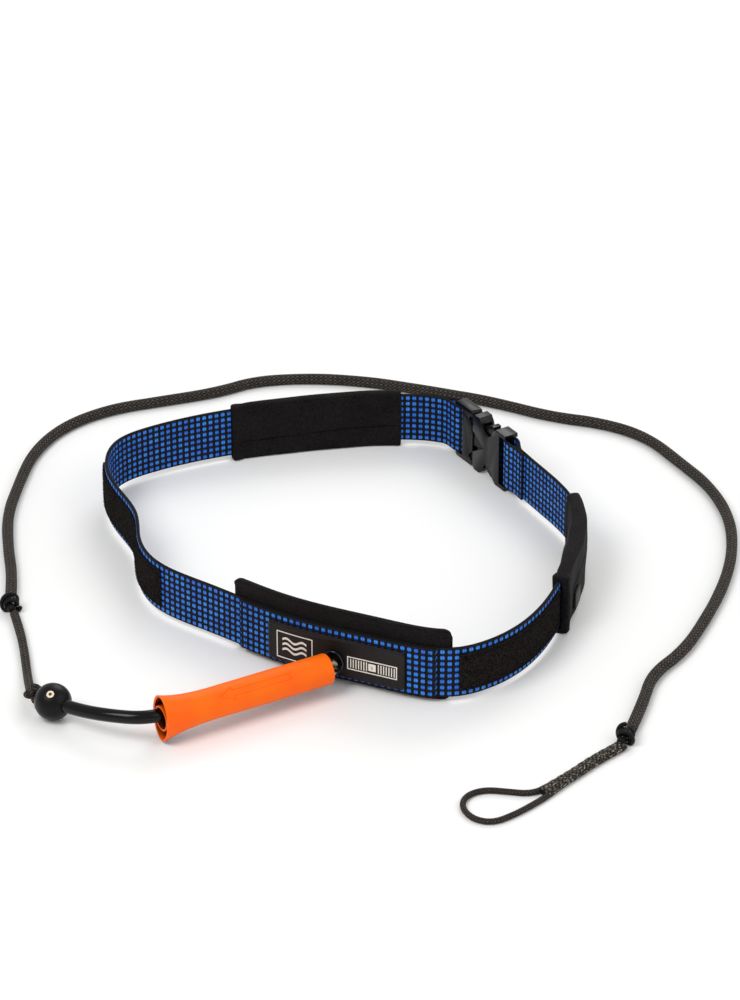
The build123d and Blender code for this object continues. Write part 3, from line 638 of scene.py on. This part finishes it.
# ---------------------------------------------------------------- strap
pick = 4.75
row = 4.6
buckle_origin = np.array([105.0, 187.0])
turn = math.radians(-57.3)
buckle_along = np.array([math.cos(turn), math.sin(turn)])
buckle_outwards = np.array([-buckle_along[1], buckle_along[0]])
male_bar = buckle_origin + buckle_along * 3.3
female_bar = buckle_origin + buckle_along * 62.7
bar_wrap = 3.42
belt_knots = np.array([
    male_bar - buckle_along * bar_wrap, (88, 196.5), (56, 200), (-1, 193), (-56, 179), (-119, 151), (-141, 132),
    (-148, 106), (-139, 66), (-123.5, 28), (-119.5, -6), (-107, -36), (-71, -66.5), (-17, -105.5), (48, -136),
    (77, -147), (95, -148.5), (113, -141.5), (138.5, -119), (163, -73), (175, -32), (184, 16), (182, 42),
    (156, 100), female_bar + buckle_along * bar_wrap])
belt = smooth_track(belt_knots)
belt_length = reach_of(belt)[-1]


def on_belt(station, offset, height):
    return along_track(belt, station, offset, height)


def strap(track, low, thickness=2.0, first=0.0, relief=0.3):
    """Woven strap along a plan line. Stations are a quarter pick apart; across, one face, the rounded
    selvedge and the other face. Each face stands out by relief * cos(pi x) * cos(pi y) over a float,
    with x and y from -1/2 to 1/2 across the float's cell."""
    length = reach_of(track)[-1]
    station = np.append(np.arange(0, length - 0.3, pick / 4), length)
    steps = np.arange(33)
    face = low + 0.6 + steps * row / 4
    height = np.concatenate([face, [low + 37.8, low + 38.0, low + 37.8], face[::-1],
                             [low + 0.2, low, low + 0.2]])
    half = np.concatenate([np.full(33, 1.0), [0.75, 0.0, -0.75], np.full(33, -1.0), [-0.75, 0.0, 0.75]])
    x = (station + first) / pick % 1 - 0.5
    y = np.concatenate([steps / 4 % 1 - 0.5, np.full(3, 0.5), (steps / 4 % 1 - 0.5)[::-1], np.full(3, 0.5)])
    dome = relief * np.cos(np.pi * x)[:, None] * np.cos(np.pi * y)[None] * np.sign(half)[None]
    ribs = 0.12 * np.cos(2 * np.pi * x)[:, None] * (half == 0)[None]
    points = along_track(track, station[:, None], half[None] * thickness / 2 + dome, height[None] + ribs)
    rows = (height - low - 0.6) / row
    uv = np.stack(np.meshgrid((station + first) / pick, np.append(rows, rows[0]), indexing="ij"), -1)
    return points, False, True, uv


def beside(station, offset):
    return on_belt(station, offset, 0.0)[..., :2]


male_turn = [male_bar + bar_wrap * d for d in (buckle_outwards, buckle_along, -buckle_outwards)]
female_turn = [female_bar + bar_wrap * d for d in (buckle_outwards, -buckle_along, -buckle_outwards)]
male_tail = beside(np.array([32.5, 26.0, 19.0, 12.5]), 2.15)
female_tail = beside(belt_length - np.array([12.5, 17.0, 21.5]), -2.15)
middle = beside(np.arange(13.0, belt_length - 12.0, 6.0), 0.0)
whole = smooth_track(np.concatenate([male_tail, male_turn, middle, female_turn, female_tail]), 12)
webbing = build("webbing", [strap(evenly(whole, 0.6), 4.0)], webbing_finish)
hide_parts("belt_webbing", "webbing_fold_male", "webbing_fold_female")
front_start, front_stop = 520.0, 664.0
front_track = beside(np.linspace(front_start, front_stop, 240), 2.15)
front_layer = build("front_layer", [strap(front_track, 4.0, 2.0, front_start + 1.1)], webbing_finish)
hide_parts("front_webbing_layer")


# stations of the sewn pieces along the strap, as start and length
pad_span = (511, 164)
patch_span = (544, 100)
left_tape_span = (289, 160)
right_tape_span = (679, 110)
back_sleeve_span = (46.8, 124.4)
side_sleeve_span = (792.8, 116.4)
tab_span = (815, 15)
patch_low, patch_high = 7.0, 36.0
tape_low, tape_high = 9.0, 37.0
sleeve_low, sleeve_high = 0.0, 44.5


def panel(start, length, low, high, inner, outer, corner, step, row_count, out_shape, in_shape, edge_round):
    """Flat piece on the strap. Its outline is a rectangle in station and height whose corners are
    rounded: near an end the height shrinks by r - sqrt(r^2 - (r - d)^2). Both faces pull in near the
    outline by a quarter circle, and a shape function of station, height and distance to the edge
    adds to either face."""
    spans = max(6, round(length / step))
    part = np.linspace(0, 1, spans + 1)
    station = start + length * part
    inset_at = np.minimum(station - start, start + length - station)
    gone = corner - np.sqrt(np.maximum(corner**2 - (corner - np.minimum(inset_at, corner)) ** 2, 0))
    share = (1 - np.cos(np.linspace(0, np.pi, row_count))) / 2
    lows, highs = low + gone, high - gone
    height = lows[:, None] + (highs - lows)[:, None] * share[None]
    along = np.broadcast_to(station[:, None], height.shape)
    edge = np.minimum(np.minimum(height - lows[:, None], highs[:, None] - height), inset_at[:, None])
    reach = np.minimum(edge, edge_round) / edge_round
    thick = outer - inner
    pull = min(edge_round, thick / 2) * (1 - np.sqrt(np.maximum(1 - (1 - reach) ** 2, 0)))
    front = outer - pull + (out_shape(along, height, edge) if out_shape else 0)
    back = inner + pull + (in_shape(along, height, edge) if in_shape else 0)
    points = np.concatenate([on_belt(along, front, height), on_belt(along, back, height)[:, ::-1]], 1)
    across = np.concatenate([height, height[:, ::-1]], 1)
    uv = np.stack([np.broadcast_to(station[:, None], across.shape), across], -1)
    uv = np.concatenate([uv, uv[:, :1]], 1)
    return points, False, True, uv


# ---------------------------------------------------------------- pad, patch, pile tapes
def foam_back(along, height, edge):
    """The wearer's side: thin at the sewn edge and full within, less a groove along the stitch line."""
    swell = 1 - (1 - np.clip(edge / 8.0, 0, 1)) ** 2
    groove = 0.6 * np.exp(-((edge - 4.0) / 0.7) ** 2)
    wander = 0.3 * np.sin(along / 11.0) * np.cos(height / 12.0) * np.clip(edge / 9.0, 0, 1)
    return 1.5 * (1 - swell) + groove + wander


def foam_front(along, height, edge):
    """The side against the strap is flat, and the free lip above the strap rolls outwards."""
    lip = np.clip((height - 43.0) / 12.0, 0, 1)
    ear = np.exp(-((along - 514.0) / 7.0) ** 2) + np.exp(-((along - 672.0) / 7.0) ** 2)
    return (2.8 + 0.6 * ear) * lip**2 * (1 + 0.2 * np.sin(along / 19.0))


def foam_back_lip(along, height, edge):
    lip = np.clip((height - 43.0) / 12.0, 0, 1)
    return foam_back(along, height, edge) + 0.6 * lip**2


pad = build("front_pad_foam", [panel(*pad_span, 0.0, 55.0, -6.1, -1.35, 7.0, 1.5, 40, foam_front,
                                     foam_back_lip, 2.2)], neoprene_finish)
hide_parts("front_pad")

eyelet_station = 593.6


def patch_relief(along, height, edge):
    """A raised border line 1.8 mm in from the edge, and a dished seat behind the eyelet's ring."""
    line = 0.5 * np.exp(-((edge - 1.8) / 0.45) ** 2)
    seat = np.hypot((along - eyelet_station) / 6.4, (height - 18.0) / 7.6)
    return line - 1.4 * np.clip((1.0 - seat) / 0.25, 0, 1)


patch = build("front_patch_vinyl", [panel(*patch_span, patch_low, patch_high, 3.25, 5.0, 2.4, 0.75, 64,
                                          patch_relief, None, 0.5)], vinyl_finish)
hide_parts("front_patch")


def pile_relief(along, height, edge):
    """Uneven pile: crossed sines at unrelated pitches, flattened by the sewn line near the edge."""
    tufts = 0.16 * np.sin(along * 2.1 + 1.3 * np.sin(height * 1.7))
    tufts = tufts * np.sin(height * 2.6 + np.sin(along * 1.1))
    sewn = 0.5 * np.exp(-((edge - 1.6) / 0.5) ** 2)
    return tufts * np.clip(edge / 2.0, 0, 1) - sewn


for name, span, node in (("pile_tape_left", left_tape_span, "velcro_left"),
                         ("pile_tape_right", right_tape_span, "velcro_right")):
    pile = build(name, [panel(*span, tape_low, tape_high, 1.15, 2.75, 1.0, 1.0, 40, pile_relief, None, 0.6)],
                 pile_finish)
    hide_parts(node)


def fuzz(name, start, length, count):
    """Stray pile: needles of three sides, 0.9 mm or so tall, that lean at random from the tape's face
    and its upper and lower edges. All needles are worked out as one array."""
    station = chance.uniform(start + 0.5, start + length - 0.5, count)
    height = chance.uniform(tape_low + 0.2, tape_high - 0.2, count)
    root = on_belt(station, 2.45, height)
    out = unit(on_belt(station, 3.45, height) - root)
    ahead = np.cross(upwards, out)
    lean = chance.normal(0, 0.7, (count, 2))
    tip = root + (out + lean[:, :1] * ahead + lean[:, 1:] * upwards) * chance.uniform(0.5, 1.1, (count, 1))
    angle = (np.arange(3) / 3 * 2 * np.pi)[None, :, None]
    foot = root[:, None] + 0.17 * (np.cos(angle) * ahead[:, None] + np.sin(angle) * upwards)
    verts = np.concatenate([foot, tip[:, None]], 1).reshape(-1, 3) * MM
    base = np.arange(count)[:, None, None] * 4
    faces = (base + np.array([[0, 1, 3], [1, 2, 3], [2, 0, 3], [0, 2, 1]])[None]).reshape(-1, 3)
    first = verts[faces[:4]]
    if (np.cross(first[:, 0], first[:, 1]) * first[:, 2]).sum() < 0:
        faces = faces[:, ::-1]
    mesh = bpy.data.meshes.new(name)
    mesh.from_pydata(verts.tolist(), [], faces.tolist())
    mesh.materials.append(pile_finish)
    piece = bpy.data.objects.new(name, mesh)
    scene.collection.objects.link(piece)
    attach(piece, "root")


fuzz("pile_fuzz_left", *left_tape_span, 9000)
fuzz("pile_fuzz_right", *right_tape_span, 6500)


# ---------------------------------------------------------------- sleeves
def sleeve(start, length, low, high, centre, half, wall, shape, step=2.0):
    """Flat tube of sheet foam round the strap. A section is a flat oval: two straight faces of even
    height steps, joined by rounded folds. The skin runs out along the outside, turns over each
    cut rim and returns along the inside, so it is closed both ways."""
    rise = np.linspace(-0.92, 0.92, 45)
    fold = np.radians([67.5, 45, 22.5, 0, -22.5, -45, -67.5])
    across = np.concatenate([np.ones(45), np.sin(fold), -np.ones(45), -np.sin(fold)])
    up = np.concatenate([rise, 0.92 + 0.08 * np.cos(fold), -rise, -0.92 - 0.08 * np.cos(fold)])
    outside = np.linspace(start, start + length, round(length / step) + 1)
    station = np.concatenate([outside, [start + length + 0.5, start + length + 0.7, start + length + 0.5],
                              outside[::-1], [start - 0.5, start - 0.7, start - 0.5]])
    depth = np.concatenate([np.zeros(len(outside)), [0.25, 0.5, 0.75],
                            np.ones(len(outside)), [0.75, 0.5, 0.25]])
    middle_z, tall = (low + high) / 2, (high - low) / 2
    thick = half - wall * depth
    high_half = tall - wall * depth
    height = middle_z + high_half[:, None] * up[None]
    along = np.broadcast_to(station[:, None], height.shape)
    offset = centre + thick[:, None] * across[None]
    offset = offset + shape(along, height, across[None] * (1 - depth[:, None]))
    return on_belt(along, offset, height), True, True, None


def back_seam_height(along):
    return 16.0 + 1.2 * np.sin(along / 31.0)


def back_folds(along, height, face):
    """Soft sag lines and one sewn seam, on the face towards the wearer (face below zero)."""
    seam = 1.3 * np.exp(-((height - back_seam_height(along)) / 0.7) ** 2)
    folds = 0.45 * np.sin(along / 9.0 + height / 14.0) * np.sin(height / 13.0 + along / 37.0)
    swell = 0.8 * np.sin(np.pi * np.clip((along - 48) / 124, 0, 1))
    rolled = 1.1 * np.exp(-((along - 168.5) / 2.2) ** 2) - 0.7 * np.exp(-((along - 163.5) / 1.6) ** 2)
    return seam * np.clip(-face, 0, 1) + folds * np.abs(face) + (swell * 0.5 + rolled) * face


def side_folds(along, height, face):
    """The rim towards the front is rolled and gapes outwards, long shallow folds run along the sleeve,
    and the wearer's side stands in by 6.5 sin(pi t)^1.5 mm at mid height."""
    gape = 1.6 * np.exp(-((along - 792) / 12.0) ** 2)
    folds = 0.5 * np.sin(along / 13.0 + height / 7.0) + 0.3 * np.sin(along / 5.0 - height / 11.0)
    seam = 0.9 * np.exp(-((height - 25.0 - 0.05 * (along - 850)) / 0.8) ** 2)
    belly = 6.5 * np.sin(np.pi * np.clip((along - 800) / 112, 0, 1)) ** 1.5
    belly = belly * np.exp(-((height - 26.0) / 17.0) ** 2) + 1.2 * np.exp(-((along - 906) / 3.0) ** 2)
    rolled = 1.2 * np.exp(-((along - 796) / 2.4) ** 2) - 0.6 * np.exp(-((along - 801.5) / 1.8) ** 2)
    out_side, in_side = np.clip(face, 0, 1), np.clip(-face, 0, 1)
    return (gape + rolled - seam) * out_side + folds * np.abs(face) * 0.7 - (belly + rolled) * in_side


back = build("back_sleeve_foam", [sleeve(*back_sleeve_span, sleeve_low, sleeve_high, 0.0, 3.6, 2.3,
                                         back_folds)], neoprene_finish)
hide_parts("back_sleeve")
side = build("side_sleeve_foam", [sleeve(*side_sleeve_span, sleeve_low, sleeve_high, 0.9, 4.4, 3.0,
                                         side_folds)], neoprene_finish)
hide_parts("side_sleeve")
tab = build("sleeve_tab", [panel(*tab_span, 6.0, 19.0, 5.5, 7.4, 1.6, 0.75, 20, None, None, 0.7)], vinyl_finish)
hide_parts("side_sleeve_tab")


# ---------------------------------------------------------------- print on the patch
def print_bar(start, length, low, high):
    """A flat bar of ink that lies on the patch."""
    return panel(start, length, low, high, 4.9, 5.12, 0.15, 1.0, 6, None, None, 0.1)


def outline(start, length, low, high, width=0.8):
    return [print_bar(start, length, low, low + width), print_bar(start, length, high - width, high),
            print_bar(start, width, low, high), print_bar(start + length - width, width, low, high)]


def wave_bar(start, length, level, swing=1.3, width=1.7):
    """A bar whose height follows one and a half sine waves: a plain picture of water."""
    station = np.linspace(start, start + length, 40)
    rise = level + swing * np.sin((station - start) / length * 3 * np.pi)
    share = np.array([0, 1.0, 1.0, 0])
    height = rise[:, None] + width * (share[None] - 0.5)
    offset = np.array([5.12, 5.12, 4.9, 4.9])[None]
    return on_belt(station[:, None], offset, height), False, True, None


emblem = outline(551, 27, 9.7, 30.4)
emblem += [wave_bar(555.5, 18, level) for level in (16.5, 20.5, 24.5)]
scale = outline(603, 36, 14.3, 24.4)
scale += [print_bar(605.2 + k * 1.9, 0.8, 15.9, 22.8) for k in range(7)]
scale += [print_bar(625.2 + k * 1.9, 0.8, 15.9, 22.8) for k in range(7)]
scale += [print_bar(618.3, 5.4, 16.6, 22.2)]
build("patch_print", emblem + scale, ink_finish, smooth=False)
build("patch_accent", [print_bar(620.1, 1.8, 17.9, 20.7)], accent_finish, smooth=False)


# ---------------------------------------------------------------- stitching
def seam_up(station, offset, low, high, pitch=2.2):
    """Centres, directions and normals of a row of stitches that climbs the strap at one station."""
    height = np.arange(low, high, pitch)
    centres = on_belt(station, offset, height)
    outs = on_belt(station, offset + np.sign(offset), height) - centres
    return centres, np.broadcast_to(upwards, centres.shape), outs


def seam_along(start, stop, offset, height, pitch=2.4):
    station = np.arange(start, stop, pitch)
    centres = on_belt(station, offset, height)
    ahead = on_belt(station + 0.5, offset, height) - centres
    outs = on_belt(station, offset + np.sign(offset), height) - centres
    return centres, ahead, outs


def sew(name, seams, length=1.7, width=0.55):
    centres, ways, outs = (np.concatenate([seam[k] for seam in seams]) for k in range(3))
    stitches(name, centres, ways, outs, length, width, thread_finish)


sew("front_layer_seams", [seam_up(s, 3.3, 5.5, 41.0) for s in (524.0, 526.4, 657.5, 660.0)])
sew("patch_seam", [seam_along(547, 641, 5.1, h) for h in (8.1, 34.9)]
    + [seam_up(s, 5.1, 9.5, 34.0) for s in (545.4, 642.6)], 1.5, 0.4)
sew("tape_seams", [seam_along(a, b, 2.35, h) for a, b in ((291, 447), (681, 787)) for h in (10.6, 35.4)]
    + [seam_up(s, 2.35, 11.5, 35.0) for s in (290.6, 447.4, 680.6)], 1.6, 0.45)
sew("fold_seams", [seam_up(s, 3.35, 5.5, 41.0) for s in (18.0, 29.0)]
    + [seam_up(belt_length - s, -3.35, 5.5, 41.0) for s in (15.0, 19.0)])
seam_station = np.arange(58.0, 160.0, 1.9)
seam_height = back_seam_height(seam_station)
seam_centre = on_belt(seam_station, -3.2, seam_height)
seam_ahead = on_belt(seam_station + 0.5, -3.2, seam_height) - seam_centre
seam_out = on_belt(seam_station, -4.2, seam_height) - seam_centre
sew("back_sleeve_seam", [(seam_centre, seam_ahead, seam_out)], 1.5, 0.6)
sew("pad_seam", [seam_along(517, 669, -5.95, 4.0), seam_along(517, 669, -4.3, 51.0)], 1.8, 0.5)


# ---------------------------------------------------------------- anchor loop
eyelet_point = on_belt(eyelet_station, 5.04, 0.0)
eyelet_out = unit(eyelet_point - on_belt(eyelet_station, 0.0, 0.0))
eyelet_along = np.array([-eyelet_out[1], eyelet_out[0], 0])
bight = line_point(-2.1, 0, -0.6)
root_depth = float((eyelet_point - bight) @ -eyelet_out) + 5.04 - 1.32


def loop_point(depth, sideways):
    return bight - eyelet_out * depth + eyelet_along * sideways


loop_route = [loop_point(*bend) for bend in (
    (root_depth, -3.7), (2.7, -3.7), (-3.8, 5.3), (2.8, 6.9), (6.2, 1.3), (root_depth, 1.3))]
loop_bends = [loop_route[0]]
for here, there in zip(loop_route[:-1], loop_route[1:]):
    loop_bends += [here * 0.6 + there * 0.4, here * 0.4 + there * 0.6]
loop_bends.append(loop_route[-1])
loop_path = cord_path("anchor_loop", loop_bends, 0.5)
loop = build("anchor_loop_cord", [tube(loop_path, upwards, 1.3, 14)], knot_finish)
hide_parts("anchor_loop")
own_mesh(loop)


# ---------------------------------------------------------------- arrow on the grip
def on_grip(along, around_mm):
    """Point on the grip's skin: the arc in mm becomes an angle from straight up, towards the front."""
    angle = np.asarray(around_mm) / 10.7 + math.radians(38)
    return line_point(along, -10.66 * np.sin(angle), 10.66 * np.cos(angle))


def raised_line(points):
    """A bead along straight runs on the grip's skin, dense enough to follow its curve."""
    points = np.asarray(points, float)
    flat = evenly(points, 0.5)
    path = on_grip(flat[:, 0], flat[:, 1])
    return tube(path, unit(path - line_point(flat[:, 0], 0, 0)), 0.6, 8)


arrow = [raised_line(run) for run in (
    [(32, -2.0), (74, -2.0)], [(32, 2.0), (74, 2.0)], [(32, -2.0), (32, 2.0)], [(74, -2.0), (74, -4.6)],
    [(74, 2.0), (74, 4.6)], [(74, -4.6), (84, 0)], [(74, 4.6), (84, 0)])]
build("grip_arrow", arrow, grip_finish, body="release_handle")


# ---------------------------------------------------------------- buckle with eased edges
def eased(node, width):
    """The CAD piece's own faces, merged and freed of flat seams, with every sharp edge rounded."""
    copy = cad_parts[node].data.copy()
    copy.name = node + "_eased"
    shape = bmesh.new()
    shape.from_mesh(copy)
    bmesh.ops.remove_doubles(shape, verts=shape.verts, dist=1e-6)
    bmesh.ops.dissolve_limit(shape, angle_limit=math.radians(1.5), verts=shape.verts, edges=shape.edges)
    shape.to_mesh(copy)
    shape.free()
    copy.materials.clear()
    copy.materials.append(acetal_finish)
    copy.polygons.foreach_set("use_smooth", np.ones(len(copy.polygons), bool))
    piece = bpy.data.objects.new(node + "_eased", copy)
    scene.collection.objects.link(piece)
    bevel = piece.modifiers.new("edges", "BEVEL")
    bevel.width = width * MM
    bevel.segments = 2
    bevel.limit_method = "ANGLE"
    bevel.angle_limit = math.radians(38)
    bevel.harden_normals = True
    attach(piece, node if node.startswith("latch") else "root")
    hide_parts(node)


for node in ("buckle_male", "buckle_female"):
    eased(node, 0.8)
for node in ("latch_arm_upper", "latch_arm_lower"):
    eased(node, 0.6)

# ---------------------------------------------------------------- finishes on the CAD pieces
for names, surface in (
    (("release_handle",), grip_finish), (("ball_stopper",), nylon_finish),
    (("release_head", "release_hook", "hook_pin", "ball_set_screw"), steel_finish),
    (("anchor_eyelet",), eyelet_finish),
):
    for name in names:
        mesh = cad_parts[name].data
        for k in range(len(mesh.materials)):
            mesh.materials[k] = surface

# ---------------------------------------------------------------- studio
floor_mesh = bpy.data.meshes.new("floor")
floor_mesh.from_pydata([(-6, -6, 0), (6, -6, 0), (6, 6, 0), (-6, 6, 0)], [], [(0, 1, 2, 3)])
floor = bpy.data.objects.new("floor", floor_mesh)
scene.collection.objects.link(floor)
paper, _, _ = finish("matte_white_paper", {"Base Color": colour("#F4F4F3"), "Roughness": 0.9})
floor_mesh.materials.append(paper)

world = bpy.data.worlds.new("studio")
scene.world = world
world.use_nodes = True
world.node_tree.nodes["Background"].inputs["Color"].default_value = (1, 1, 1, 1)
world.node_tree.nodes["Background"].inputs["Strength"].default_value = 0.62
for name, power, size, place in (("key", 24, 1.1, (-1.1, -1.0, 1.9)), ("fill", 10, 1.8, (1.6, -0.9, 1.3)),
                                 ("rim", 14, 1.2, (0.5, 1.7, 1.5))):
    light = bpy.data.lights.new(name, "AREA")
    light.energy = power
    light.size = size
    lamp = bpy.data.objects.new(name, light)
    lamp.location = place
    away = unit(np.array(place) - np.array([0, 0, 0.02]))
    lamp.rotation_euler = (math.acos(away[2]), 0, math.atan2(away[0], -away[1]))
    scene.collection.objects.link(lamp)
scene.view_settings.view_transform = "Standard"
